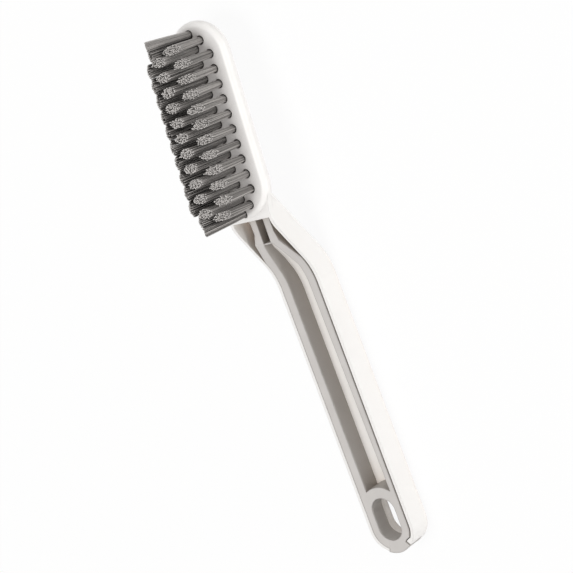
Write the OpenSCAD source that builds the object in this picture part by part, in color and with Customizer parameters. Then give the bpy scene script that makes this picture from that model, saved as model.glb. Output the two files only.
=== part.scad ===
// Crevice brush: a long head with staggered bristle tufts, a cranked neck, and a
// hollow handle that holds a softer grip insert with a hanging slot.
// X runs from the head tip to the tail, Y across, and the bristles point up.
// The flat back of the handle lies on Z = 0. All sizes are in millimetres.

/* [Overall] */
// Overall length, from the tips of the end bristles to the tail
overall_l = 220.2; // [205:0.1:240]
// Height of the middle of the bristle face over the back of the handle
head_rise = 23.9; // [20:0.1:27]
// Angle between the bristle face and the handle
head_tilt = 5.8; // [3:0.1:9]

/* [Head] */
// Length of the bristle plate, if both ends stood out as far as the tip
head_l = 78.4; // [76:0.1:84]
// Width of the bristle plate
head_w = 26.2; // [22:0.1:30]
// Thickness of the bristle plate
head_t = 5; // [4.5:0.1:6.5]
// Rounding of the edges of the bristle plate
head_round = 2.2; // [0.8:0.1:2.2]
// How much shorter the plate is at the heel than at the tip
heel_cut = 2.3; // [1:0.1:3]
// Radius of the hollow curve from the side of the plate to the side of the neck
flank_r = 20; // [10:1:30]

/* [Tufts] */
// Distance from one tuft to the next in a row
tuft_pitch = 5.8; // [4.8:0.1:6]
// Tufts in each straight side row
row_count = 10; // [6:1:10]
// Distance from the middle row to a side row
row_offset = 5.85; // [5:0.05:7]
// Diameter of a tuft where it leaves its hole
tuft_d = 3; // [2.2:0.1:3.4]
// Diameter of a tuft at its cut end
tuft_tip_d = 3.8; // [3:0.1:4]
// Gap between a tuft and the wall of its hole
tuft_gap = 0.25; // [0.1:0.05:0.4]
// Depth of a tuft hole
hole_depth = 3.6; // [3.2:0.1:3.9]
// Lean of the tufts at both ends of the head, outwards
end_lean = 4; // [0:0.5:6]
// How far the last tuft of a side row stands in towards the middle row
end_inset = 2.65; // [2:0.05:3]
// Length of the bristles at their crest
crest_h = 25.6; // [18:0.1:30]
// Distance of the crest from the middle row, towards the far side
crest_offset = 3.4; // [0:0.1:5]
// Length of the bristles over the middle of the head
middle_h = 22.1; // [16:0.1:24]
// Length of the bristles at the inner edge of a bevel
bevel_h = 20.3; // [14:0.1:22]
// Length of the shortest bristles, at the outer edge of a side row
side_h = 13; // [10:0.1:18]

/* [Anchors] */
// Thickness of the metal plate that holds a tuft in its hole
anchor_t = 0.35; // [0.25:0.05:0.5]
// Height of the metal plate
anchor_h = 1.6; // [1.2:0.1:1.8]
// How far each end of the metal plate bites into the wall of the hole
anchor_bite = 0.2; // [0.1:0.05:0.3]
// Thickness of the folded bristles under the metal plate
fold_t = 0.6; // [0.4:0.1:0.8]

/* [Neck] */
// Thickness of the neck, square to its slope
neck_t = 11; // [10:0.1:12]
// Drop from the bristle face to the ledge behind it
ledge_drop = 1.4; // [1:0.1:2]
// Length of the ledge behind the bristle plate
ledge_l = 2.9; // [2:0.1:4]
// Radius of the bend from the ledge to the slope of the neck
ledge_r = 12; // [6:1:16]
// Distance from the bristle plate to the hollow behind it
front_l = 1.3; // [1:0.1:2]
// Thickness of the neck wall under the hollow
neck_floor = 3.2; // [2.4:0.1:4]
// Radius of the bend between neck and handle, along the open side
bend_r = 22; // [14:1:30]
// Radius of the bend where the neck meets the back of the head
crank_r = 8; // [4:0.5:12]

/* [Handle] */
// Length of the straight handle
handle_l = 116.2; // [108:0.1:120]
// Width of the handle and the neck
handle_w = 19.8; // [18:0.1:23]
// Height of the handle
handle_h = 12.4; // [11.8:0.1:14]
// Thickness of the side walls
wall_t = 1.2; // [0.9:0.05:1.8]
// Thickness of the back wall of the handle
floor_t = 4.4; // [3:0.1:5]
// Rounding of the back edges
back_round = 2.5; // [1:0.1:3.5]

/* [Grip insert] */
// Gap between the grip insert and the side walls
insert_gap = 0.3; // [0.15:0.05:0.5]
// Width of the finger channel in the grip insert
channel_w = 9.6; // [8:0.1:11]
// Width of the narrow stem of the insert in the neck
stem_w = 9.3; // [8.5:0.1:10.5]
// Width of the slit in the stem
slit_w = 3.5; // [2.4:0.1:3.8]
// Height of the top of the stem over the back of the handle
stem_top = 21.3; // [20.5:0.1:22.5]
// Thickness of the web between slit and channel
web_t = 0.8; // [0.8:0.1:1.6]
// How far the top of the web lies under the rim
web_drop = 1.8; // [1:0.1:2.4]

/* [Hanging slot] */
// Length of the hanging slot
slot_l = 17.5; // [14:0.1:20]
// Width of the hanging slot
slot_w = 10.6; // [8:0.1:11.5]
// How far the edge of the slot stands back in the shell, behind the slot in the insert
slot_step = 0.45; // [0.2:0.05:0.8]
// Thickness of the insert between the channel and the slot
ring_t = 4.4; // [3:0.1:5.5]
// Thickness of the tail between the slot and the end
tail_t = 5.2; // [4.4:0.1:7]
// Width of the opening in the shell at the tail
notch_w = 12.8; // [10:0.1:14]
// Diameter of the swelling of the wall at each side of that opening
bead_d = 8; // [5:0.5:10]
// How far the wall swells inwards there
bead_rise = 0.9; // [0.5:0.1:1.2]

/* [Hidden] */
near_count = row_count + 2;
middle_count = row_count + 1;

$fn = 64;
eps = 0.01;
far = 60;
crank_sink = 0.1;
lap = 0.3;
flank_sink = 0.1;
seam = 0.02;
shell_color = [0.95, 0.945, 0.93];
insert_color = [0.77, 0.76, 0.745];
tuft_color = [0.5, 0.49, 0.48];
anchor_color = [0.72, 0.7, 0.62];

hole_d = tuft_d + 2 * tuft_gap;
tail_x = overall_l / 2;
rim_x = tail_x - handle_l;
tip_offset = 1.1;
end_x = (row_count + 1) / 2 * tuft_pitch - 0.1;
tip_x = end_x + tuft_pitch / 2;
tip_h = middle_h + (crest_h - middle_h) * tip_offset / crest_offset;
head_x = tip_x * cos(head_tilt) + tip_h * (tan(end_lean) * cos(head_tilt) + sin(head_tilt))
    + tuft_tip_d / 2 - overall_l / 2;

// Where a point of the head's own frame, x along the plate and z over its face, lies in the side view
function from_head(x, z) = [
    head_x + x * cos(head_tilt) - z * sin(head_tilt),
    head_rise + x * sin(head_tilt) + z * cos(head_tilt)];
function unit(v) = v / norm(v);
function two_digits(i) = str(i < 10 ? "0" : "", i);
// Crossing of two lines, each given by a point and a direction
function crossing(p, d, q, e) = p + d * cross(q - p, e) / cross(d, e);
function angle_of(d) = atan2(d[1], d[0]);

// Side view of the neck: the rim runs down from the ledge to the handle, and the back runs beside it
heel_end = head_l / 2 - heel_cut;
ledge_end = from_head(heel_end + ledge_l, -ledge_drop);
rim_bend = [rim_x, handle_h];
slope = unit(rim_bend - ledge_end);
slope_angle = -angle_of(slope);
inward = [slope[1], -slope[0]];
back_line = rim_bend + inward * neck_t;
back_bend = crossing(back_line, slope, [0, 0], [1, 0]);
head_slope = [cos(head_tilt), sin(head_tilt)];
crank_bend = crossing(back_line, slope, from_head(0, -head_t), head_slope);
crank_center = crossing(
    back_line + inward * (crank_r - crank_sink), slope,
    from_head(0, crank_sink - head_t - crank_r), head_slope);
floor_line = back_line - inward * neck_floor;
floor_bend = crossing(floor_line, slope, [0, floor_t], [1, 0]);
hollow_x = from_head(heel_end + front_l, -ledge_drop)[0];
hollow_foot = crossing(floor_line, slope, [hollow_x, 0], [0, 1]);
stem_bend = crossing(rim_bend, slope, [0, stem_top], [1, 0]);

// Plan view of the handle
tail_r = handle_w / 2;
tail_center = tail_x - tail_r;
notch_angle = asin(notch_w / 2 / tail_r);
hollow_w = handle_w - 2 * wall_t;
insert_w = hollow_w - 2 * insert_gap;
slot_end = tail_x - tail_t;
slot_straight = slot_l - slot_w;
slot_mid = slot_end - slot_l / 2;
ring_x = slot_mid - slot_straight / 2;
ring_r = slot_w / 2 + ring_t;
web_x = stem_bend[0];
shoulder_x = web_x + 9;
channel_full_x = web_x + 12;

// What rounds the corner between two straight lines of a side view, with some to spare behind it
module corner(at, toward_a, toward_b, radius) {
    half = (180 - acos(toward_a * toward_b)) / 2;
    reach = radius * tan(half);
    outward = -unit(toward_a + toward_b);
    middle = at - outward * radius / cos(half);
    difference() {
        polygon([
            at + outward, at + outward + toward_a * reach, at + toward_a * reach, middle,
            at + toward_b * reach, at + outward + toward_b * reach]);
        translate(middle) circle(radius + seam / 5, $fn = 96);
    }
}

// Stands a side view up in the XZ plane, as wide as given
module side_view(width) {
    rotate([90, 0, 0])
        linear_extrude(width, center = true) children();
}

// Side view of all that lies over the rim
module over_rim() {
    inner = from_head(-head_l, -ledge_drop);
    difference() {
        polygon([inner, ledge_end, rim_bend, [tail_x + 1, handle_h], [tail_x + 1, far], inner + [0, far]]);
        corner(rim_bend, -slope, [1, 0], bend_r);
    }
    corner(ledge_end, -head_slope, slope, ledge_r);
}

// Side view of the hollow, open at the rim
module hollow_outline() {
    polygon([hollow_foot + [0, far], hollow_foot, floor_bend, [tail_x, floor_t], [tail_x, far]]);
}

// Side view of the grip insert, flush with the rim and lying on the floor of the hollow
module insert_outline() {
    front = hollow_x + insert_gap;
    foot = crossing(floor_line, slope, [front, 0], [0, 1]);
    difference() {
        polygon([[front, stem_top], [tail_x, stem_top], [tail_x, floor_t], floor_bend, foot]);
        over_rim();
    }
}

// Plan view of the handle with its round tail
module tail_plan(width) {
    translate([-tail_x, -width / 2]) square([tail_x + tail_center, width]);
    translate([tail_center, 0]) circle(width / 2, $fn = 96);
}

module slot_plan(extra = 0) {
    for (side = [-1, 1])
        translate([slot_mid + side * slot_straight / 2, 0]) circle(slot_w / 2 + extra, $fn = 96);
    translate([slot_mid, 0]) square([slot_straight, slot_w + 2 * extra], center = true);
}

// Section of the neck and the handle, with its back edges round and its back on the X axis.
// The bends are inset by a hair, so that the straight parts end cleanly in them.
module back_section(height, inset = 0) {
    half = handle_w / 2 - inset;
    translate([-half, inset + back_round]) square([2 * half, height - back_round]);
    translate([back_round - half, inset]) square([2 * (half - back_round), height]);
    for (side = [-1, 1])
        translate([side * (half - back_round), inset + back_round]) circle(back_round);
}

// Extrudes a section along X, with its height along Z
module along_x(length) {
    rotate([90, 0, 90])
        linear_extrude(length) children();
}

// Turns a section in the side view, from one angle on, about a point
module about_y(center, start, turn) {
    translate([center[0], 0, center[1]])
        rotate([90, 0, 0])
            rotate([0, 0, start])
                rotate_extrude(angle = turn, $fn = 128) children();
}

// The sections of tail, handle, bend, neck and crank in a row; they stand higher than the rim.
// Handle and neck run a little way into the bend, and the neck ends inside the plate.
module swept_body() {
    height = bend_r - 1;
    crank_turn = slope_angle + head_tilt;
    bend_reach = bend_r * tan(slope_angle / 2);
    bend_x = back_bend[0] + bend_reach;
    neck_end = back_bend - slope * (bend_reach - lap);
    neck_l = norm(crank_bend - neck_end) + head_t / 2;
    translate([tail_center, 0, 0])
        rotate_extrude($fn = 128)
            intersection() {
                back_section(height, seam);
                square(far);
            }
    translate([bend_x - lap, 0, 0]) along_x(tail_center - bend_x + lap) back_section(height);
    about_y([bend_x, bend_r], -90 - slope_angle, slope_angle)
        translate([bend_r, 0]) rotate(90) back_section(height - 1, seam);
    translate([neck_end[0], 0, neck_end[1]])
        rotate([0, slope_angle, 0])
            translate([-neck_l, 0, 0]) along_x(neck_l) back_section(height);
    about_y(crank_center, 90 - slope_angle, crank_turn)
        translate([crank_r, 0]) rotate(-90) back_section(height, seam);
}

// Puts its children in the head's own frame: the middle of the bristle face, bristles up
module on_head() {
    translate([head_x, 0, head_rise])
        rotate([0, -head_tilt, 0]) children();
}

// Half of the plate's section, from its middle line to its rounded edge
module plate_section(half_w) {
    translate([0, -head_t]) square([half_w - head_round, head_t]);
    translate([0, head_round - head_t]) square([half_w, head_t - 2 * head_round]);
    for (z = [-head_round, head_round - head_t])
        translate([half_w - head_round, z]) circle(head_round);
}

// Where the round ends of the plate have their middle
tip_center = (head_w - head_l) / 2;
heel_center = heel_end - head_w / 2;

module bristle_plate() {
    for (end = [[tip_center, 90], [heel_center, -90]])
        translate([end[0], 0, 0])
            rotate([0, 0, end[1]])
                rotate_extrude(angle = 180, $fn = 128) plate_section(head_w / 2);
    translate([tip_center, 0, 0])
        rotate([90, 0, 90])
            linear_extrude(heel_center - tip_center)
                for (side = [0, 1])
                    mirror([side, 0]) plate_section(head_w / 2);
}

// What leads the side of the plate into the side of the neck
module heel_flanks() {
    near_r = head_w / 2 - flank_sink;
    center_y = handle_w / 2 - flank_sink + flank_r;
    center_x = heel_center + sqrt(pow(near_r + flank_r, 2) - pow(center_y, 2));
    translate([0, 0, head_round / 2 - head_t])
        linear_extrude(head_t - head_round / 2)
            difference() {
                polygon([[heel_center, 0], [center_x, center_y], [center_x, -center_y]]);
                for (side = [-1, 1])
                    translate([center_x, side * center_y]) circle(flank_r, $fn = 192);
            }
}

// Places of the tufts on the plate
side_x = [for (i = [0 : row_count - 1]) (i - (row_count - 1) / 2) * tuft_pitch];
near_spots = concat(
    [[-end_x, row_offset - end_inset]],
    [for (x = side_x) [x, row_offset]],
    [[end_x, row_offset - end_inset]]);
middle_spots = [for (i = [0 : row_count]) [(i - row_count / 2) * tuft_pitch, 0]];
tip_spot = [-tip_x, -tip_offset];
heel_spot = [tip_x, -tip_offset];
all_spots = concat(near_spots, [for (p = near_spots) [p[0], -p[1]]], middle_spots, [tip_spot, heel_spot]);

// Tufts near the two ends lean outwards
function lean_at(x) = end_lean * pow(x / tip_x, 3);

module at_spot(spot) {
    translate([spot[0], spot[1], 0]) children();
}

// The anchor lies between the two halves of the folded tuft, over the fold
module anchor_plate(extra = 0) {
    width = hole_d + 2 * anchor_bite + 2 * extra;
    thick = anchor_t + 2 * extra;
    translate([-thick / 2, -width / 2, fold_t - hole_depth - extra])
        cube([thick, width, anchor_h + 2 * extra]);
}

// Section across the head of the trimmed bristle field
module trim_section() {
    outer = row_offset + tuft_tip_d / 2;
    slope_y = row_offset - tuft_tip_d / 2 - 0.4;
    below = -head_t;
    drop = (bevel_h - side_h) / (outer - slope_y);
    polygon([
        [-outer - 4, below], [-outer - 4, side_h + (crest_h - bevel_h) - 4 * drop],
        [-outer, side_h + crest_h - bevel_h], [-crest_offset, crest_h], [0, middle_h],
        [slope_y, bevel_h], [outer, side_h], [outer + 4, side_h - 4 * drop], [outer + 4, below]]);
}

module tuft(spot) {
    lean = lean_at(spot[0]);
    base = -hole_depth;
    difference() {
        intersection() {
            on_head()
                at_spot(spot) {
                    translate([0, 0, base]) cylinder(h = hole_depth, d = tuft_d, $fn = 32);
                    intersection() {
                        translate([0, 0, -eps])
                            rotate([0, lean, 0])
                                translate([0, 0, -tuft_d])
                                    cylinder(h = far, d1 = tuft_d, d2 = tuft_d + (tuft_tip_d - tuft_d) * far / crest_h, $fn = 32);
                        translate([-far, -far, -eps]) cube([2 * far, 2 * far, far]);
                    }
                }
            on_head()
                rotate([90, 0, 90])
                    linear_extrude(2 * head_l, center = true) trim_section();
        }
        on_head()
            at_spot(spot) anchor_plate(0.02);
    }
}

module handle_shell() {
    color(shell_color)
        difference() {
            union() {
                difference() {
                    union() {
                        swept_body();
                        on_head() heel_flanks();
                    }
                    side_view(head_w) over_rim();
                }
                on_head() bristle_plate();
            }
            difference() {
                intersection() {
                    side_view(hollow_w) hollow_outline();
                    linear_extrude(far) tail_plan(hollow_w);
                }
                tail_beads(0);
            }
            tail_notch();
            translate([0, 0, -1]) linear_extrude(far) slot_plan(slot_step);
            on_head()
                for (spot = all_spots)
                    at_spot(spot) {
                        translate([0, 0, -hole_depth]) cylinder(h = hole_depth + 1, d = hole_d, $fn = 32);
                        anchor_plate();
                    }
        }
}

// Swelling of the shell wall at both sides of the notch
module tail_beads(extra) {
    reach = tail_r - wall_t - bead_rise + bead_d / 2;
    for (side = [-1, 1])
        translate([tail_center, 0, floor_t - extra])
            rotate([0, 0, side * (notch_angle + 2)])
                translate([reach, 0, 0]) cylinder(h = far, d = bead_d + 2 * extra, $fn = 96);
}

// Plan view of what opens from the middle of the round tail, with room at each side
module notch_plan(room = 0) {
    translate([tail_center + room / sin(notch_angle), 0])
        polygon([[0, 0], far * [cos(notch_angle), sin(notch_angle)], far * [cos(notch_angle), -sin(notch_angle)]]);
}

// Opening in the end wall, where the insert reaches the tail
module tail_notch() {
    translate([0, 0, floor_t]) linear_extrude(far) notch_plan();
}

module grip_insert() {
    color(insert_color)
        difference() {
            intersection() {
                side_view(handle_w) insert_outline();
                linear_extrude(far) insert_plan();
            }
            finger_channel();
            translate([0, 0, -1]) linear_extrude(far) slot_plan();
            translate([0, 0, -eps]) tail_beads(insert_gap);
        }
}

// Plan view of the insert: the stem, its shoulders, the rim and the tab at the tail
module insert_plan() {
    half = insert_w / 2;
    front = hollow_x;
    intersection() {
        tail_plan(insert_w);
        polygon([
            [front, -stem_w / 2], [web_x - 4, -stem_w / 2], [shoulder_x, -half], [tail_x, -half],
            [tail_x, half], [shoulder_x, half], [web_x - 4, stem_w / 2], [front, stem_w / 2]]);
    }
    intersection() {
        tail_plan(handle_w);
        notch_plan(insert_gap);
    }
}

// Slit in the stem, then the channel for the fingers up to the ring round the slot
module finger_channel() {
    mouth = slit_w / 2 + 0.5;
    half = channel_w / 2;
    web_end = web_x + web_t;
    linear_extrude(far)
        difference() {
            union() {
                translate([hollow_x, -slit_w / 2]) square([web_x - hollow_x, slit_w]);
                polygon([
                    [web_end, -mouth], [web_end + 3, -mouth - 0.9], [channel_full_x, -half], [ring_x, -half],
                    [ring_x, half], [channel_full_x, half], [web_end + 3, mouth + 0.9], [web_end, mouth]]);
            }
            translate([ring_x, 0]) circle(ring_r, $fn = 96);
        }
    translate([web_x - 1, -slit_w / 2, stem_top - web_drop]) cube([web_t + 2, slit_w, far]);
}

module tuft_anchors() {
    color(anchor_color)
        on_head()
            for (spot = all_spots)
                at_spot(spot) anchor_plate();
}

module colored_tuft(spot) {
    color(tuft_color) tuft(spot);
}

handle_shell();
grip_insert();
tuft_anchors();
colored_tuft(tip_spot);  // tip_tuft
colored_tuft(heel_spot);  // heel_tuft
for (i = [1 : near_count]) {
    spot = near_spots[i - 1];
    colored_tuft(spot);
    colored_tuft([spot[0], -spot[1]]);
}
for (i = [1 : middle_count])
    colored_tuft(middle_spots[i - 1]);
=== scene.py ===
import bmesh
import bpy
import math
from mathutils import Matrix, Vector


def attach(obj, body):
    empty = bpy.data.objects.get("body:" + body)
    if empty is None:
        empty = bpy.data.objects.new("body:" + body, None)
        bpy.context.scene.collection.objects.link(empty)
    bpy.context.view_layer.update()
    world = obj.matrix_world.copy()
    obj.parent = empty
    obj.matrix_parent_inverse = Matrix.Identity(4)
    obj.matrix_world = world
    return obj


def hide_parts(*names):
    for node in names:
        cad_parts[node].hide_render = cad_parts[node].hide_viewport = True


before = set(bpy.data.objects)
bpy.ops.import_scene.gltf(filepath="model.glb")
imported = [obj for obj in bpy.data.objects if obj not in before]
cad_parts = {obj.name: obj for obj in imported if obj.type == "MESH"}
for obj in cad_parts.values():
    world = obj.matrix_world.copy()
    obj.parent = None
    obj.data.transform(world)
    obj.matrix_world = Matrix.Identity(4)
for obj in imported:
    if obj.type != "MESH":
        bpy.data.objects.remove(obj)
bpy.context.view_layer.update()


def addNode(tree, kind, **values):
    node = tree.nodes.new(kind)
    for name, value in values.items():
        setattr(node, name, value)
    return node


def feed(tree, socket, value):
    if isinstance(value, bpy.types.NodeSocket):
        tree.links.new(value, socket)
    else:
        socket.default_value = value


def mathNode(tree, operation, first, second=0.0, third=None, clamp=False):
    node = addNode(tree, "ShaderNodeMath", operation=operation, use_clamp=clamp)
    feed(tree, node.inputs[0], first)
    feed(tree, node.inputs[1], second)
    if third is not None:
        feed(tree, node.inputs[2], third)
    return node.outputs[0]


def fillRamp(ramp, stops):
    elements = ramp.color_ramp.elements
    for number, (position, color) in enumerate(stops):
        stop = elements[number] if number < 2 else elements.new(1.0)
        stop.position = position
        stop.color = (*color, 1)


surface = {
    "grainDetail": 2.0,
    "mottleDetail": 3.0,
    "mottleStops": (0.3, 0.7),
    "shadeSamples": 8,
    "edgeSamples": 6,
    "coatRoughness": 0.2,
    "hollowShadeBorder": (-0.0345, -0.0325),  # along the brush, from the plate's painted shade to the hollow's lighter, warmer painted shade
}


def makeGrainGroup():
    # fine moulded grain: a soft height and a slight mottling of the colour
    group = bpy.data.node_groups.new("mouldGrain", "ShaderNodeTree")
    ways = {"Grain Size": "INPUT", "Mottle Size": "INPUT", "Height": "OUTPUT", "Mottle": "OUTPUT"}
    for name, way in ways.items():
        group.interface.new_socket(name, in_out=way, socket_type="NodeSocketFloat")
    inside = addNode(group, "NodeGroupInput")
    outside = addNode(group, "NodeGroupOutput")
    place = addNode(group, "ShaderNodeTexCoord")
    grainScale = mathNode(group, "DIVIDE", 1.0, inside.outputs["Grain Size"])
    mottleScale = mathNode(group, "DIVIDE", 1.0, inside.outputs["Mottle Size"])
    grain = addNode(group, "ShaderNodeTexNoise")
    feed(group, grain.inputs["Vector"], place.outputs["Object"])
    feed(group, grain.inputs["Scale"], grainScale)
    feed(group, grain.inputs["Detail"], surface["grainDetail"])
    mottle = addNode(group, "ShaderNodeTexNoise")
    feed(group, mottle.inputs["Vector"], place.outputs["Object"])
    feed(group, mottle.inputs["Scale"], mottleScale)
    feed(group, mottle.inputs["Detail"], surface["mottleDetail"])
    group.links.new(grain.outputs["Fac"], outside.inputs["Height"])
    group.links.new(mottle.outputs["Fac"], outside.inputs["Mottle"])
    return group


grainGroup = makeGrainGroup()


def surfaceMaterial(name, look):
    material = bpy.data.materials.new(name)
    material.use_nodes = True
    tree = material.node_tree
    tree.nodes.clear()
    output = addNode(tree, "ShaderNodeOutputMaterial")
    shader = addNode(tree, "ShaderNodeBsdfPrincipled")
    tree.links.new(shader.outputs[0], output.inputs[0])
    grain = addNode(tree, "ShaderNodeGroup", node_tree=grainGroup)
    grain.inputs["Grain Size"].default_value = look["grainSize"]
    grain.inputs["Mottle Size"].default_value = look["mottleSize"]
    ramp = addNode(tree, "ShaderNodeValToRGB")
    fillRamp(ramp, zip(surface["mottleStops"], (look["colorLow"], look["colorHigh"])))
    tree.links.new(grain.outputs["Mottle"], ramp.inputs[0])
    # painted shade: the base colour is darkened and browned where little light reaches, in creases, corners
    # and recesses, by how open the place is
    crevice = addNode(tree, "ShaderNodeAmbientOcclusion", samples=surface["shadeSamples"])
    crevice.inputs["Distance"].default_value = look["paintedShadeReach"]
    creviceShade = addNode(tree, "ShaderNodeValToRGB")
    fillRamp(creviceShade, look["paintedCreviceShade"])
    tree.links.new(crevice.outputs["AO"], creviceShade.inputs[0])
    # in the neck's hollow a lighter, warmer painted shade stands in for the light bounced round inside it
    hollowShade = addNode(tree, "ShaderNodeValToRGB")
    fillRamp(hollowShade, look["paintedHollowShade"])
    tree.links.new(crevice.outputs["AO"], hollowShade.inputs[0])
    spot = addNode(tree, "ShaderNodeTexCoord")
    split = addNode(tree, "ShaderNodeSeparateXYZ")
    tree.links.new(spot.outputs["Object"], split.inputs[0])
    inHollow = addNode(tree, "ShaderNodeMapRange")
    inHollow.inputs["From Min"].default_value = surface["hollowShadeBorder"][0]
    inHollow.inputs["From Max"].default_value = surface["hollowShadeBorder"][1]
    tree.links.new(split.outputs[0], inHollow.inputs["Value"])
    paintedShade = addNode(tree, "ShaderNodeMix", data_type="RGBA")
    tree.links.new(inHollow.outputs[0], paintedShade.inputs["Factor"])
    tree.links.new(creviceShade.outputs[0], paintedShade.inputs[6])
    tree.links.new(hollowShade.outputs[0], paintedShade.inputs[7])
    shadedColor = addNode(tree, "ShaderNodeMix", data_type="RGBA", blend_type="MULTIPLY")
    shadedColor.inputs["Factor"].default_value = 1.0
    tree.links.new(ramp.outputs[0], shadedColor.inputs[6])
    tree.links.new(paintedShade.outputs[2], shadedColor.inputs[7])
    tree.links.new(shadedColor.outputs[2], shader.inputs["Base Color"])
    rough = addNode(tree, "ShaderNodeMapRange")
    tree.links.new(grain.outputs["Mottle"], rough.inputs["Value"])
    rough.inputs["To Min"].default_value = look["roughness"][0]
    rough.inputs["To Max"].default_value = look["roughness"][1]
    tree.links.new(rough.outputs[0], shader.inputs["Roughness"])
    bump = addNode(tree, "ShaderNodeBump")
    bump.inputs["Strength"].default_value = look["bumpStrength"]
    bump.inputs["Distance"].default_value = look["bumpDepth"]
    tree.links.new(grain.outputs["Height"], bump.inputs["Height"])
    softEdge = addNode(tree, "ShaderNodeBevel", samples=surface["edgeSamples"])
    softEdge.inputs["Radius"].default_value = look["edgeRadius"]
    tree.links.new(softEdge.outputs[0], bump.inputs["Normal"])
    tree.links.new(bump.outputs[0], shader.inputs["Normal"])
    shader.inputs["Specular IOR Level"].default_value = look["specular"]
    shader.inputs["Coat Weight"].default_value = look["coat"]
    shader.inputs["Coat Roughness"].default_value = surface["coatRoughness"]
    shader.inputs["Metallic"].default_value = look["metallic"]
    return material


shellLook = {
    "grainSize": 0.0005,
    "mottleSize": 0.02,
    "colorLow": (0.87, 0.858, 0.842),
    "colorHigh": (0.89, 0.88, 0.867),
    "roughness": (0.3, 0.38),
    "bumpStrength": 0.15,
    "bumpDepth": 0.00002,
    "specular": 0.35,
    "coat": 0.05,
    "metallic": 0.0,
    "paintedShadeReach": 0.012,
    # how open a place is, and the shade painted there: creases, corners and recesses darken and turn brown
    "paintedCreviceShade": (
        (0.0, (0.35, 0.27, 0.22)),
        (0.1, (0.7, 0.67, 0.66)),
        (0.5, (0.69, 0.675, 0.67)),
        (0.9, (1, 1, 1)),
    ),
    "paintedHollowShade": (
        (0.0, (0.35, 0.26, 0.2)),
        (0.04, (0.88, 0.74, 0.64)),
        (0.2, (1.0, 0.945, 0.89)),
        (0.5, (1.0, 0.985, 0.97)),
        (0.75, (1, 1, 1)),
    ),
    "edgeRadius": 0.0005,
}
insertLook = {
    "grainSize": 0.00035,
    "mottleSize": 0.009,
    "colorLow": (0.55, 0.53, 0.513),
    "colorHigh": (0.59, 0.57, 0.553),
    "roughness": (0.48, 0.58),
    "bumpStrength": 0.35,
    "bumpDepth": 0.00003,
    "specular": 0.4,
    "coat": 0.0,
    "metallic": 0.0,
    "paintedShadeReach": 0.012,
    "paintedCreviceShade": ((0.0, (0.1, 0.085, 0.075)), (0.14, (0.6, 0.56, 0.52)), (0.75, (1, 1, 1))),
    "paintedHollowShade": (
        (0.0, (0.1, 0.08, 0.068)),
        (0.1, (0.58, 0.53, 0.48)),
        (0.3, (0.75, 0.72, 0.685)),
        (0.7, (0.92, 0.912, 0.9)),
        (0.96, (1, 1, 1)),
    ),
    "edgeRadius": 0.0009,
}
metalLook = {
    "grainSize": 0.0002,
    "mottleSize": 0.003,
    "colorLow": (0.55, 0.5, 0.4),
    "colorHigh": (0.7, 0.66, 0.58),
    "roughness": (0.25, 0.4),
    "bumpStrength": 0.2,
    "bumpDepth": 0.00001,
    "specular": 0.5,
    "coat": 0.0,
    "metallic": 1.0,
    "paintedShadeReach": 0.002,
    "paintedCreviceShade": ((0.0, (0.4, 0.36, 0.3)), (0.5, (1, 1, 1))),
    "paintedHollowShade": ((0.0, (0.4, 0.36, 0.3)), (0.5, (1, 1, 1))),
    "edgeRadius": 0.00005,
}
shellPlastic = surfaceMaterial("shellPlastic", shellLook)
insertPlastic = surfaceMaterial("insertPlastic", insertLook)
anchorMetal = surfaceMaterial("anchorMetal", metalLook)

nodeMaterials = {"handle_shell": shellPlastic, "grip_insert": insertPlastic, "tuft_anchors": anchorMetal}
for nodeName, material in nodeMaterials.items():
    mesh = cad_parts[nodeName].data
    mesh.materials.clear()
    mesh.materials.append(material)

# what the shell and the insert share at the tail
tail = {
    "center": 0.1002,  # middle of the round end
    "outerRadius": 0.0099,
    "floor": 0.0044,
    "notchTurn": 40.28,  # degrees off the middle, where the walls end
    "farNotchTurn": 26.9,  # the wall turned away from the camera reaches further round
    "beadCenter": (0.10893, 0.00794),
    "beadRadius": 0.004,
    "slotMiddle": 0.09615,
    "slotStraight": 0.0069,
    "slotRadius": 0.00575,
    "tolerance": 0.00003,
}
shellFinish = {
    "wallRadius": 0.0087,
    "notchInner": 0.0075,  # the notch's points lie further out than this
    "notchSlack": 0.2,  # degrees
    "beadStart": 0.00783,
    "beadEnd": 56.6,  # degrees
    "slotDraft": 0.0011,
    "lipTop": 0.0057,
    "lipRadius": 0.00526,
    "lipWall": 0.0003,
    "lipSteps": 32,
    # the channel's floor rises to the web in one sweep: distance along, height, and half the width there
    "ramp": (
        (-0.0208, 0.0171, 0.0023),
        (-0.0174, 0.0147, 0.0033),
        (-0.01435, 0.0119, 0.00395),
        (-0.0113, 0.0093, 0.00455),
        (-0.0085, 0.0075, 0.0049),
        (-0.006, 0.0062, 0.0049),
        (-0.003, 0.0052, 0.0049),
        (0.0, 0.0046, 0.0049),
        (0.004, 0.0043, 0.0049),
    ),
    "rampDepth": 0.004,
    "rampFoot": 0.0042,  # the sweep reaches this far into the floor
}
insertFinish = {
    "radius": 0.0084,
    "gap": 0.0003,
    "gapRadius": 0.005,  # the gap's angle is taken at this radius or further out
    "beadStart": 0.00755,
    "beadEnd": 57.5,  # degrees
    "shadowGap": 0.00012,  # added to the gap between the insert and the walls
    "channelHalf": 0.0048,
    # the rim on the camera's side gets narrower towards the ring: distance along, and what it loses
    "channelTaper": ((-0.009, 0.0001), (0.0865, 0.00155)),
    "ring": (0.0927, 0.0097),  # its middle along the brush, and its radius
    "ringSlack": 0.0001,
    "rimBend": (-0.0061, 0.0124),
    "neckSlope": 0.596,
    "rimBand": 0.0012,  # a point this close under the rim belongs to the top
    "proud": 0.0004,  # how far the insert stands over the rim
    "proudFrom": (-0.03, -0.02),  # along the neck, where it comes up to that
    "webBar": ((-0.02103, -0.00178, 0.0192), (-0.02048, 0.00178, 0.02125)),  # opposite corners
}


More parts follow.
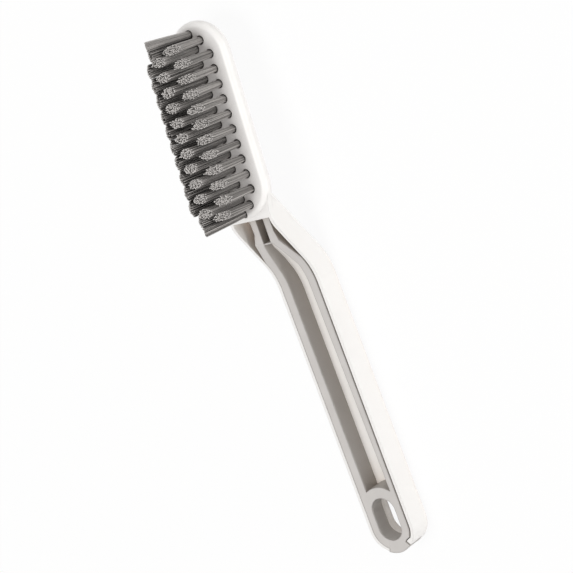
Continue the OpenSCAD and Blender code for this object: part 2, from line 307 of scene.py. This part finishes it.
def reshaped(nodeName, move, extra=None):
    # a copy of a CAD piece with some of its points moved, which takes its place
    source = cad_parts[nodeName]
    piece = source.copy()
    piece.data = source.data.copy()
    piece.name = nodeName + "_finished"
    bpy.context.scene.collection.objects.link(piece)
    for vertex in piece.data.vertices:
        vertex.co = move(vertex.co.copy())
    if extra:
        shape = bmesh.new()
        shape.from_mesh(piece.data)
        extra(shape)
        shape.to_mesh(piece.data)
        shape.free()
    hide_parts(nodeName)
    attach(piece, "root")


def remap(value, start, end, newStart, newEnd):
    share = min(1, max(0, (value - start) / (end - start)))
    return newStart + share * (newEnd - newStart)


def turnOf(point):
    radius = math.hypot(point.x - tail["center"], point.y)
    return radius, math.degrees(math.atan2(abs(point.y), point.x - tail["center"]))


def atTurn(radius, turn, side, z):
    angle = math.radians(turn)
    return Vector((tail["center"] + radius * math.cos(angle), side * radius * math.sin(angle), z))


def onBead(point, gap):
    away = math.hypot(point.x - tail["beadCenter"][0], abs(point.y) - tail["beadCenter"][1])
    return abs(away - tail["beadRadius"] - gap) < tail["tolerance"]


def finishShell(point):
    look = shellFinish
    outer, slack = tail["outerRadius"], tail["tolerance"]
    # the slot widens towards the back, as a moulded hole does
    half = tail["slotStraight"] / 2
    nearest = min(max(point.x - tail["slotMiddle"], -half), half) + tail["slotMiddle"]
    out = Vector((point.x - nearest, point.y, 0))
    if point.z < slack and abs(out.length - tail["slotRadius"]) < slack:
        return point + out.normalized() * look["slotDraft"]
    # the far wall has no swelling at its end
    radius, turn = turnOf(point)
    if point.y > 0 or point.z < tail["floor"] - slack or radius > outer + slack:
        return point
    if abs(turn - tail["notchTurn"]) < look["notchSlack"] and radius > look["notchInner"]:
        moved = remap(radius, look["beadStart"], outer, look["wallRadius"], outer)
        return atTurn(moved, tail["farNotchTurn"], -1, point.z)
    if onBead(point, 0):
        moved = remap(turn, tail["notchTurn"], look["beadEnd"], tail["farNotchTurn"], look["beadEnd"])
        return atTurn(look["wallRadius"], moved, -1, point.z)
    return point


def finishTab(point, radius, turn):
    # the tab between the wall ends keeps an even gap
    look = insertFinish
    gapTurn = math.degrees(look["gap"] / max(radius, look["gapRadius"]))
    edge = tail["notchTurn"] - gapTurn
    farEdge = tail["farNotchTurn"] - gapTurn
    if point.y > 0:
        return atTurn(radius, edge, 1, point.z) if turn < edge else point
    if turn < edge:
        moved = remap(radius, look["beadStart"], tail["outerRadius"], look["radius"], tail["outerRadius"])
        return atTurn(moved, farEdge, -1, point.z)
    moved = remap(turn, edge, look["beadEnd"], farEdge, look["beadEnd"])
    return atTurn(look["radius"], moved, -1, point.z)


def taperChannel(point):
    look = insertFinish
    ringX, ringRadius = look["ring"]
    (startX, startWidth), (endX, endWidth) = look["channelTaper"]
    onRing = abs(math.hypot(point.x - ringX, point.y) - ringRadius) < look["ringSlack"]
    point.y += remap(point.x, startX, endX, startWidth, endWidth)
    if onRing:
        point.x = ringX - math.sqrt(ringRadius ** 2 - point.y ** 2)
    return point


def finishInsert(point):
    look = insertFinish
    slack = tail["tolerance"]
    radius, turn = turnOf(point)
    if onBead(point, look["gap"]) and radius < tail["outerRadius"] + slack:
        point = finishTab(point, radius, turn)
    elif abs(radius - look["radius"]) < slack and point.x > tail["center"]:
        point = atTurn(radius - look["shadowGap"], turn, math.copysign(1, point.y), point.z)
    elif abs(abs(point.y) - look["radius"]) < slack:
        point.y -= math.copysign(look["shadowGap"], point.y)
    elif abs(point.y - look["channelHalf"]) < slack and point.x < look["channelTaper"][1][0]:
        point = taperChannel(point)
    # the top stands a little over the rim
    bend = look["rimBend"]
    rimHeight = bend[1] + max(0, bend[0] - point.x) * look["neckSlope"]
    if point.z > rimHeight - look["rimBand"]:
        point.z += look["proud"] * remap(point.x, *look["proudFrom"], 0, 1)
    return point


def joinRings(shape, first, second, smooth=True):
    for corner in range(4):
        after = (corner + 1) % 4
        face = shape.faces.new((first[corner], first[after], second[after], second[corner]))
        face.smooth = smooth and corner == 0


def addSlotLip(shape):
    # the shell's rim round the slot, which stands up inside the insert's ring
    steps = shellFinish["lipSteps"]
    low, high = tail["floor"], shellFinish["lipTop"]
    inner, wall = shellFinish["lipRadius"], shellFinish["lipWall"]
    profile = ((inner, high), (inner, low), (tail["slotRadius"] + wall, low), (inner + wall, high))
    rings = []
    for side in (1, -1):
        middle = tail["slotMiddle"] + side * tail["slotStraight"] / 2
        for step in range(steps + 1):
            angle = math.pi * (step / steps - 0.5) + (0 if side > 0 else math.pi)
            across, along = math.sin(angle), math.cos(angle)
            rings.append([shape.verts.new((middle + r * along, r * across, z)) for r, z in profile])
    for number, ring in enumerate(rings):
        joinRings(shape, ring, rings[(number + 1) % len(rings)])


def addRamp(shape):
    sections = []
    for x, z, half in shellFinish["ramp"]:
        foot = max(shellFinish["rampFoot"], z - shellFinish["rampDepth"])
        corners = ((x, half, z), (x, -half, z), (x, -half, foot), (x, half, foot))
        sections.append([shape.verts.new(corner) for corner in corners])
    for first, second in zip(sections, sections[1:]):
        joinRings(shape, first, second)
    shape.faces.new(reversed(sections[0]))
    shape.faces.new(sections[-1])


def addWebBar(shape):
    # the web between slit and channel reaches up to the rims
    low, high = insertFinish["webBar"]
    outline = ((low[0], low[1]), (high[0], low[1]), (high[0], high[1]), (low[0], high[1]))
    bottom, top = [[shape.verts.new((x, y, z)) for x, y in outline] for z in (low[2], high[2])]
    joinRings(shape, bottom, top, smooth=False)
    shape.faces.new(reversed(bottom))
    shape.faces.new(top)


def addShellDetails(shape):
    addSlotLip(shape)
    addRamp(shape)


reshaped("handle_shell", finishShell, addShellDetails)
reshaped("grip_insert", finishInsert, addWebBar)
print("plastics and metal done")


head = {
    "origin": (-0.069714, 0.0, 0.0239),  # middle of the bristle face
    "tilt": math.radians(5.8),
    "pitch": 0.0058,
    "rowCount": 10,
    "rowOffset": 0.00585,
    "endInset": 0.00265,
    "endStep": 0.0057,
    "tipOffset": 0.0011,
}

bristle = {
    "filaments": 64,
    "filamentRadius": 0.0002,
    "holeRadius": 0.00138,
    # radius at the tips, how early a tuft spreads, how round its top is, how much pale cut-end colour,
    # partly painted light, it gets (the far row less, as painted shade; tip and heel none),
    # where across the trim a row is cut, what it is longer than that, and its lean in degrees
    "rows": {
        "near": {
            "tipRadius": 0.0018, "spread": 0.9, "dome": 0.0, "cutPaleAndLit": 1.0,
            "trimAt": head["rowOffset"], "extra": 0.0, "lean": 0,
        },
        "middle": {
            "tipRadius": 0.00196, "spread": 0.9, "dome": 0.0, "cutPaleAndLit": 1.0,
            "trimAt": 0.0, "extra": 0.0, "lean": 0,
        },
        "far": {
            "tipRadius": 0.0034, "spread": 0.2, "dome": 0.0016, "cutPaleAndLit": 0.35,
            "trimAt": -head["rowOffset"], "extra": 0.0, "lean": 0,
        },
        "tip": {
            "tipRadius": 0.0019, "spread": 0.7, "dome": 0.0, "cutPaleAndLit": 0.0,
            "trimAt": -0.0067, "extra": 0.0034, "lean": -2.6,
        },
        "heel": {
            "tipRadius": 0.0019, "spread": 0.7, "dome": 0.0, "cutPaleAndLit": 0.0,
            "trimAt": -0.0067, "extra": 0.0022, "lean": 1.7,
        },
    },
    "depth": 0.0033,
    "jitter": 0.08,
    "tipScatter": 0.00016,
    "lengthScatter": 0.0005,
    "scatterRange": (-1.0, 0.4),  # filaments end short of the trim more often than past it
    "goldenTurn": 2.399963,  # radians from one filament to the next in a sunflower spiral
    "seedStep": 101,
    "rings": 8,
    "sides": 6,
    # distance across the head and the bristle length there
    "trim": (
        (-0.0096, 0.0188),
        (-0.0040, 0.0256),
        (-0.0019, 0.0250),
        (0.0019, 0.0211),
        (0.0038, 0.0221),
        (0.0080, 0.0127),
    ),
    "trimFull": 0.03,  # bristle length at the top of the trim curve's own scale
}
nylonLook = {
    "shaftDark": (0.15, 0.141, 0.134),
    "shaftLight": (0.45, 0.43, 0.413),
    # the cut ends' pale colour: partly the cut nylon's own, partly painted light on the flat cuts
    "cutColor": (0.6, 0.58, 0.565),
    "cutBand": (0.985, 0.999),  # share of the length where the cut end begins
    "shadeSamples": 6,
    "shadeReach": 0.006,
    "shadeRange": (0.04, 0.4),
    "shadeDeepest": 0.28,
    "streakScale": 900.0,
    "roughness": (0.35, 0.6),
    "specular": 0.5,
}


def bristleMaterial():
    material = bpy.data.materials.new("bristleNylon")
    material.use_nodes = True
    tree = material.node_tree
    tree.nodes.clear()
    output = addNode(tree, "ShaderNodeOutputMaterial")
    shader = addNode(tree, "ShaderNodeBsdfPrincipled")
    tree.links.new(shader.outputs[0], output.inputs[0])
    tone = addNode(tree, "ShaderNodeAttribute", attribute_name="tone")
    along = addNode(tree, "ShaderNodeAttribute", attribute_name="along")
    shaft = addNode(tree, "ShaderNodeValToRGB")
    fillRamp(shaft, ((0.0, nylonLook["shaftDark"]), (1.0, nylonLook["shaftLight"])))
    tree.links.new(tone.outputs["Fac"], shaft.inputs[0])
    cutMask = addNode(tree, "ShaderNodeMapRange")
    cutMask.inputs["From Min"].default_value = nylonLook["cutBand"][0]
    cutMask.inputs["From Max"].default_value = nylonLook["cutBand"][1]
    tree.links.new(along.outputs["Fac"], cutMask.inputs["Value"])
    mix = addNode(tree, "ShaderNodeMix", data_type="RGBA")
    # painted shade: the filaments are darkened where little light reaches between them, by how open the
    # place is
    crevice = addNode(tree, "ShaderNodeAmbientOcclusion", samples=nylonLook["shadeSamples"])
    crevice.inputs["Distance"].default_value = nylonLook["shadeReach"]
    depth = addNode(tree, "ShaderNodeMapRange")
    depth.inputs["From Min"].default_value = nylonLook["shadeRange"][0]
    depth.inputs["From Max"].default_value = nylonLook["shadeRange"][1]
    depth.inputs["To Min"].default_value = nylonLook["shadeDeepest"]
    tree.links.new(crevice.outputs["AO"], depth.inputs["Value"])
    cutPaleAndLit = addNode(tree, "ShaderNodeAttribute", attribute_name="cutPaleAndLit")
    cutShare = mathNode(tree, "MULTIPLY", cutMask.outputs[0], cutPaleAndLit.outputs["Fac"])
    tree.links.new(cutShare, mix.inputs["Factor"])
    tree.links.new(shaft.outputs[0], mix.inputs[6])
    mix.inputs[7].default_value = (*nylonLook["cutColor"], 1)
    shaded = addNode(tree, "ShaderNodeMix", data_type="RGBA", blend_type="MULTIPLY")
    shaded.inputs["Factor"].default_value = 1.0
    tree.links.new(mix.outputs[2], shaded.inputs[6])
    tree.links.new(depth.outputs[0], shaded.inputs[7])
    tree.links.new(shaded.outputs[2], shader.inputs["Base Color"])
    place = addNode(tree, "ShaderNodeTexCoord")
    streak = addNode(tree, "ShaderNodeTexNoise")
    streak.inputs["Scale"].default_value = nylonLook["streakScale"]
    tree.links.new(place.outputs["Object"], streak.inputs["Vector"])
    rough = addNode(tree, "ShaderNodeMapRange")
    rough.inputs["To Min"].default_value = nylonLook["roughness"][0]
    rough.inputs["To Max"].default_value = nylonLook["roughness"][1]
    tree.links.new(streak.outputs["Fac"], rough.inputs["Value"])
    tree.links.new(rough.outputs[0], shader.inputs["Roughness"])
    shader.inputs["Specular IOR Level"].default_value = nylonLook["specular"]
    return material


bristleNylon = bristleMaterial()


def makeTuftTree():
    tree = bpy.data.node_groups.new("bristleTuft", "GeometryNodeTree")
    face = tree.interface
    sockets = {}

    def addInput(name, kind, value=None):
        socket = face.new_socket(name, in_out="INPUT", socket_type=kind)
        if value is not None:
            socket.default_value = value
        sockets[name] = socket.identifier

    addInput("Geometry", "NodeSocketGeometry")
    addInput("Spot X", "NodeSocketFloat", 0.0)
    addInput("Spot Y", "NodeSocketFloat", 0.0)
    addInput("Lean", "NodeSocketFloat", 0.0)
    addInput("Filaments", "NodeSocketInt", bristle["filaments"])
    addInput("Filament Radius", "NodeSocketFloat", bristle["filamentRadius"])
    addInput("Hole Radius", "NodeSocketFloat", bristle["holeRadius"])
    addInput("Tip Radius", "NodeSocketFloat", 0.002)
    addInput("Spread", "NodeSocketFloat", 1.0)
    addInput("Dome", "NodeSocketFloat", 0.0)
    addInput("Trim Shift", "NodeSocketFloat", 0.0)
    addInput("Extra Length", "NodeSocketFloat", 0.0)
    addInput("Cut Pale And Lit", "NodeSocketFloat", 1.0)
    addInput("Depth", "NodeSocketFloat", bristle["depth"])
    addInput("Jitter", "NodeSocketFloat", bristle["jitter"])
    addInput("Tip Scatter", "NodeSocketFloat", bristle["tipScatter"])
    addInput("Length Scatter", "NodeSocketFloat", bristle["lengthScatter"])
    addInput("Rings", "NodeSocketInt", bristle["rings"])
    addInput("Sides", "NodeSocketInt", bristle["sides"])
    addInput("Seed", "NodeSocketInt", 1)
    addInput("Head Origin", "NodeSocketVector", head["origin"])
    addInput("Head Tilt", "NodeSocketFloat", head["tilt"])
    addInput("Material", "NodeSocketMaterial")
    face.new_socket("Geometry", in_out="OUTPUT", socket_type="NodeSocketGeometry")
    inside = addNode(tree, "NodeGroupInput")
    outside = addNode(tree, "NodeGroupOutput")

    def given(name):
        return inside.outputs[name]

    def randomFloat(low, high, offset):
        node = addNode(tree, "FunctionNodeRandomValue", data_type="FLOAT")
        feed(tree, node.inputs[2], low)
        feed(tree, node.inputs[3], high)
        seed = mathNode(tree, "ADD", given("Seed"), float(offset))
        feed(tree, node.inputs["Seed"], seed)
        return node.outputs[1]

    def store(geometry, name, value):
        node = addNode(tree, "GeometryNodeStoreNamedAttribute", data_type="FLOAT", domain="POINT")
        feed(tree, node.inputs["Geometry"], geometry)
        node.inputs["Name"].default_value = name
        feed(tree, node.inputs["Value"], value)
        return node.outputs[0]

    def read(name):
        node = addNode(tree, "GeometryNodeInputNamedAttribute", data_type="FLOAT")
        node.inputs["Name"].default_value = name
        return node.outputs[0]

    # filaments fill the tuft's disc in a sunflower spiral
    index = addNode(tree, "GeometryNodeInputIndex").outputs[0]
    share = mathNode(tree, "DIVIDE", mathNode(tree, "ADD", index, 0.5), given("Filaments"))
    discR = mathNode(tree, "SQRT", share)
    turn = mathNode(tree, "MULTIPLY", index, bristle["goldenTurn"])
    turn = mathNode(tree, "ADD", turn, given("Seed"))
    jitterX = mathNode(tree, "MULTIPLY", randomFloat(-1.0, 1.0, 11), given("Jitter"))
    jitterY = mathNode(tree, "MULTIPLY", randomFloat(-1.0, 1.0, 23), given("Jitter"))
    discX = mathNode(tree, "MULTIPLY_ADD", discR, mathNode(tree, "COSINE", turn), jitterX)
    discY = mathNode(tree, "MULTIPLY_ADD", discR, mathNode(tree, "SINE", turn), jitterY)

    points = addNode(tree, "GeometryNodePoints")
    feed(tree, points.inputs["Count"], given("Filaments"))
    cloud = store(points.outputs[0], "discX", discX)
    cloud = store(cloud, "discY", discY)
    cloud = store(cloud, "tone", randomFloat(0.0, 1.0, 37))
    cloud = store(cloud, "cutPaleAndLit", given("Cut Pale And Lit"))
    cloud = store(cloud, "scatterX", randomFloat(-1.0, 1.0, 41))
    cloud = store(cloud, "scatterY", randomFloat(-1.0, 1.0, 53))
    cloud = store(cloud, "scatterZ", randomFloat(*bristle["scatterRange"], 67))

    line = addNode(tree, "GeometryNodeCurvePrimitiveLine")
    line.inputs["End"].default_value = (0, 0, 1)
    resample = addNode(tree, "GeometryNodeResampleCurve")
    feed(tree, resample.inputs["Curve"], line.outputs[0])
    feed(tree, resample.inputs["Count"], given("Rings"))
    place = addNode(tree, "GeometryNodeInstanceOnPoints")
    feed(tree, place.inputs["Points"], cloud)
    feed(tree, place.inputs["Instance"], resample.outputs[0])
    real = addNode(tree, "GeometryNodeRealizeInstances")
    feed(tree, real.inputs[0], place.outputs[0])

    # where a filament starts, and where it ends under the trim
    position = addNode(tree, "GeometryNodeInputPosition").outputs[0]
    split = addNode(tree, "ShaderNodeSeparateXYZ")
    feed(tree, split.inputs[0], position)
    along = split.outputs[2]
    holeR = mathNode(tree, "SUBTRACT", given("Hole Radius"), given("Filament Radius"))
    tipR = mathNode(tree, "SUBTRACT", given("Tip Radius"), given("Filament Radius"))
    baseX = mathNode(tree, "MULTIPLY_ADD", read("discX"), holeR, given("Spot X"))
    baseY = mathNode(tree, "MULTIPLY_ADD", read("discY"), holeR, given("Spot Y"))
    endX = mathNode(tree, "MULTIPLY_ADD", read("discX"), tipR, given("Spot X"))
    endX = mathNode(tree, "MULTIPLY_ADD", read("scatterX"), given("Tip Scatter"), endX)
    endY = mathNode(tree, "MULTIPLY_ADD", read("discY"), tipR, given("Spot Y"))
    endY = mathNode(tree, "MULTIPLY_ADD", read("scatterY"), given("Tip Scatter"), endY)
    trim = addNode(tree, "ShaderNodeFloatCurve")
    curve = trim.mapping.curves[0]
    low, high = bristle["trim"][0][0], bristle["trim"][-1][0]
    full = bristle["trimFull"]
    knots = [((across - low) / (high - low), length / full) for across, length in bristle["trim"]]
    curve.points[0].location = knots[0]
    curve.points[1].location = knots[-1]
    for knot in knots[1:-1]:
        curve.points.new(*knot)
    for point in curve.points:
        point.handle_type = "VECTOR"
    trim.mapping.update()
    span = addNode(tree, "ShaderNodeMapRange")
    feed(tree, span.inputs["Value"], mathNode(tree, "ADD", endY, given("Trim Shift")))
    span.inputs["From Min"].default_value = low
    span.inputs["From Max"].default_value = high
    feed(tree, trim.inputs["Value"], span.outputs[0])
    height = mathNode(tree, "MULTIPLY_ADD", trim.outputs[0], full, given("Extra Length"))
    height = mathNode(tree, "MULTIPLY_ADD", read("scatterZ"), given("Length Scatter"), height)
    offMiddle = mathNode(tree, "ABSOLUTE", read("discX"))
    roundOff = mathNode(tree, "MULTIPLY", mathNode(tree, "POWER", offMiddle, 2.0), given("Dome"))
    height = mathNode(tree, "SUBTRACT", height, roundOff)
    leanStep = mathNode(tree, "MULTIPLY", mathNode(tree, "TANGENT", given("Lean")), height)
    endX = mathNode(tree, "ADD", endX, leanStep)
    total = mathNode(tree, "ADD", height, given("Depth"))
    newZ = mathNode(tree, "SUBTRACT", mathNode(tree, "MULTIPLY", total, along), given("Depth"))
    rise = mathNode(tree, "DIVIDE", newZ, height, clamp=True)
    rise = mathNode(tree, "POWER", rise, given("Spread"))
    newX = mathNode(tree, "MULTIPLY_ADD", mathNode(tree, "SUBTRACT", endX, baseX), rise, baseX)
    newY = mathNode(tree, "MULTIPLY_ADD", mathNode(tree, "SUBTRACT", endY, baseY), rise, baseY)
    join = addNode(tree, "ShaderNodeCombineXYZ")
    feed(tree, join.inputs[0], newX)
    feed(tree, join.inputs[1], newY)
    feed(tree, join.inputs[2], newZ)
    stored = store(real.outputs[0], "along", along)
    move = addNode(tree, "GeometryNodeSetPosition")
    feed(tree, move.inputs["Geometry"], stored)
    feed(tree, move.inputs["Position"], join.outputs[0])

    ring = addNode(tree, "GeometryNodeCurvePrimitiveCircle")
    feed(tree, ring.inputs["Resolution"], given("Sides"))
    feed(tree, ring.inputs["Radius"], given("Filament Radius"))
    tube = addNode(tree, "GeometryNodeCurveToMesh")
    feed(tree, tube.inputs["Curve"], move.outputs[0])
    feed(tree, tube.inputs["Profile Curve"], ring.outputs[0])
    tube.inputs["Fill Caps"].default_value = True

    turnHead = addNode(tree, "GeometryNodeTransform")
    feed(tree, turnHead.inputs["Geometry"], tube.outputs[0])
    feed(tree, turnHead.inputs["Translation"], given("Head Origin"))
    angles = addNode(tree, "ShaderNodeCombineXYZ")
    feed(tree, angles.inputs[1], mathNode(tree, "MULTIPLY", given("Head Tilt"), -1.0))
    feed(tree, turnHead.inputs["Rotation"], angles.outputs[0])
    dress = addNode(tree, "GeometryNodeSetMaterial")
    realAgain = addNode(tree, "GeometryNodeRealizeInstances")
    feed(tree, realAgain.inputs[0], turnHead.outputs[0])
    feed(tree, dress.inputs["Geometry"], realAgain.outputs[0])
    feed(tree, dress.inputs["Material"], given("Material"))
    feed(tree, outside.inputs[0], dress.outputs[0])
    return tree, sockets


tuftTree, tuftSockets = makeTuftTree()


def plainMesh(holder, name):
    # the evaluated result as a mesh of its own, without the modifier
    graph = bpy.context.evaluated_depsgraph_get()
    mesh = bpy.data.meshes.new_from_object(holder.evaluated_get(graph))
    piece = bpy.data.objects.new(name, mesh)
    bpy.context.scene.collection.objects.link(piece)
    holderMesh = holder.data
    bpy.data.objects.remove(holder)
    bpy.data.meshes.remove(holderMesh)
    return piece


def makeTuft(nodeName, spot, row, seed):
    blank = bpy.data.meshes.new(nodeName + "Blank")
    holder = bpy.data.objects.new(nodeName + "Holder", blank)
    bpy.context.scene.collection.objects.link(holder)
    modifier = holder.modifiers.new("bristleTuft", "NODES")
    modifier.node_group = tuftTree
    modifier[tuftSockets["Spot X"]] = spot[0]
    modifier[tuftSockets["Spot Y"]] = spot[1]
    modifier[tuftSockets["Tip Radius"]] = row["tipRadius"]
    modifier[tuftSockets["Spread"]] = row["spread"]
    modifier[tuftSockets["Dome"]] = row["dome"]
    modifier[tuftSockets["Trim Shift"]] = row["trimAt"] - spot[1]
    modifier[tuftSockets["Extra Length"]] = row["extra"]
    modifier[tuftSockets["Cut Pale And Lit"]] = row["cutPaleAndLit"]
    modifier[tuftSockets["Lean"]] = math.radians(row["lean"])
    modifier[tuftSockets["Seed"]] = seed
    modifier[tuftSockets["Material"]] = bristleNylon
    piece = plainMesh(holder, nodeName + "_bristles")
    for polygon in piece.data.polygons:
        polygon.use_smooth = len(polygon.vertices) == 4
    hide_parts(nodeName)
    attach(piece, "root")


def tuftSpots():
    rows = head["rowCount"]
    straight = [(i - (rows - 1) / 2) * head["pitch"] for i in range(rows)]
    endX = straight[-1] + head["endStep"]
    side = head["rowOffset"]
    inset = side - head["endInset"]
    near = [(-endX, inset)] + [(x, side) for x in straight] + [(endX, inset)]
    middle = [((i - rows / 2) * head["pitch"], 0.0) for i in range(rows + 1)]
    tip = endX + head["pitch"] / 2
    spots = {"tip_tuft": (-tip, -head["tipOffset"]), "heel_tuft": (tip, -head["tipOffset"])}
    for number, (x, y) in enumerate(near, 1):
        spots["near_tuft_%02d" % number] = (x, y)
        spots["far_tuft_%02d" % number] = (x, -y)
    for number, spot in enumerate(middle, 1):
        spots["middle_tuft_%02d" % number] = spot
    return spots


spots = tuftSpots()
for seed, (nodeName, spot) in enumerate(sorted(spots.items()), 1):
    row = bristle["rows"][nodeName.split("_")[0]]
    makeTuft(nodeName, spot, row, seed * bristle["seedStep"])
print("bristle tufts done:", len(spots))


stage = {
    "floorSize": 2.4,
    "floorHeight": -0.0002,
    "floorWhite": 0.9,
    "floorGlow": 0.93,  # how much of the floor is plain white to the camera; the rest takes the shadow
    "worldStrength": 0.47,
    "worldColor": (1.0, 0.975, 0.95),
    "cameraPlace": (-0.28334, 0.92686, 1.15926),
    "cameraTurn": (-25.1802, 32.6509, 65.7646),  # degrees
    "lens": 251.309,
    "sensorWidth": 36.0,
    "clip": (0.05, 20.0),
    "lamps": {
        "keyLamp": {"place": (-0.1, 0.0, 1.25), "target": (0, 0, 0.02), "size": (0.6, 0.6), "watts": 8.8},
        "sideLamp": {"place": (0.05, 1.1, 0.07), "target": (0, 0, 0.01), "size": (1.4, 0.12), "watts": 5.1},
    },
}


def seenDirectly(tree):
    # one for rays of the camera, of a reflection and through a clear surface
    path = addNode(tree, "ShaderNodeLightPath")
    seen = mathNode(tree, "MAXIMUM", path.outputs["Is Camera Ray"], path.outputs["Is Glossy Ray"])
    return mathNode(tree, "MAXIMUM", seen, path.outputs["Is Transmission Ray"])


def makeFloor():
    mesh = bpy.data.meshes.new("floor")
    half = stage["floorSize"] / 2
    z = stage["floorHeight"]
    corners = [(-half, -half, z), (half, -half, z), (half, half, z), (-half, half, z)]
    mesh.from_pydata(corners, [], [(0, 1, 2, 3)])
    floor = bpy.data.objects.new("floor", mesh)
    bpy.context.scene.collection.objects.link(floor)
    material = bpy.data.materials.new("paleFloor")
    material.use_nodes = True
    tree = material.node_tree
    tree.nodes.clear()
    output = addNode(tree, "ShaderNodeOutputMaterial")
    matt = addNode(tree, "ShaderNodeBsdfDiffuse")
    matt.inputs["Color"].default_value = (stage["floorWhite"],) * 3 + (1,)
    glow = addNode(tree, "ShaderNodeEmission")
    glow.inputs["Color"].default_value = (1, 1, 1, 1)
    glow.inputs["Strength"].default_value = 1.0
    share = mathNode(tree, "MULTIPLY", seenDirectly(tree), stage["floorGlow"])
    mix = addNode(tree, "ShaderNodeMixShader")
    tree.links.new(share, mix.inputs[0])
    tree.links.new(matt.outputs[0], mix.inputs[1])
    tree.links.new(glow.outputs[0], mix.inputs[2])
    tree.links.new(mix.outputs[0], output.inputs[0])
    mesh.materials.append(material)


def makeWorld():
    world = bpy.data.worlds.new("studio")
    bpy.context.scene.world = world
    world.use_nodes = True
    tree = world.node_tree
    tree.nodes.clear()
    output = addNode(tree, "ShaderNodeOutputWorld")
    soft = addNode(tree, "ShaderNodeBackground")
    soft.inputs["Color"].default_value = (*stage["worldColor"], 1)
    soft.inputs["Strength"].default_value = stage["worldStrength"]
    white = addNode(tree, "ShaderNodeBackground")
    white.inputs["Color"].default_value = (1, 1, 1, 1)
    white.inputs["Strength"].default_value = 1.0
    mix = addNode(tree, "ShaderNodeMixShader")
    tree.links.new(seenDirectly(tree), mix.inputs[0])
    tree.links.new(soft.outputs[0], mix.inputs[1])
    tree.links.new(white.outputs[0], mix.inputs[2])
    tree.links.new(mix.outputs[0], output.inputs[0])


def addLamp(name, lamp):
    data = bpy.data.lights.new(name, "AREA")
    data.shape = "RECTANGLE"
    data.size, data.size_y = lamp["size"]
    data.energy = lamp["watts"]
    light = bpy.data.objects.new(name, data)
    light.location = lamp["place"]
    view = Vector(lamp["target"]) - light.location
    light.rotation_euler = view.to_track_quat("-Z", "Y").to_euler()
    bpy.context.scene.collection.objects.link(light)


makeFloor()
makeWorld()
for name, lamp in stage["lamps"].items():
    addLamp(name, lamp)

camera = bpy.data.objects.new("camera", bpy.data.cameras.new("camera"))
bpy.context.scene.collection.objects.link(camera)
camera.data.sensor_width = stage["sensorWidth"]
camera.data.lens = stage["lens"]
camera.data.clip_start, camera.data.clip_end = stage["clip"]
camera.location = stage["cameraPlace"]
camera.rotation_euler = [math.radians(angle) for angle in stage["cameraTurn"]]
bpy.context.scene.camera = camera
bpy.context.scene.view_settings.view_transform = "Standard"
print("stage and camera done")
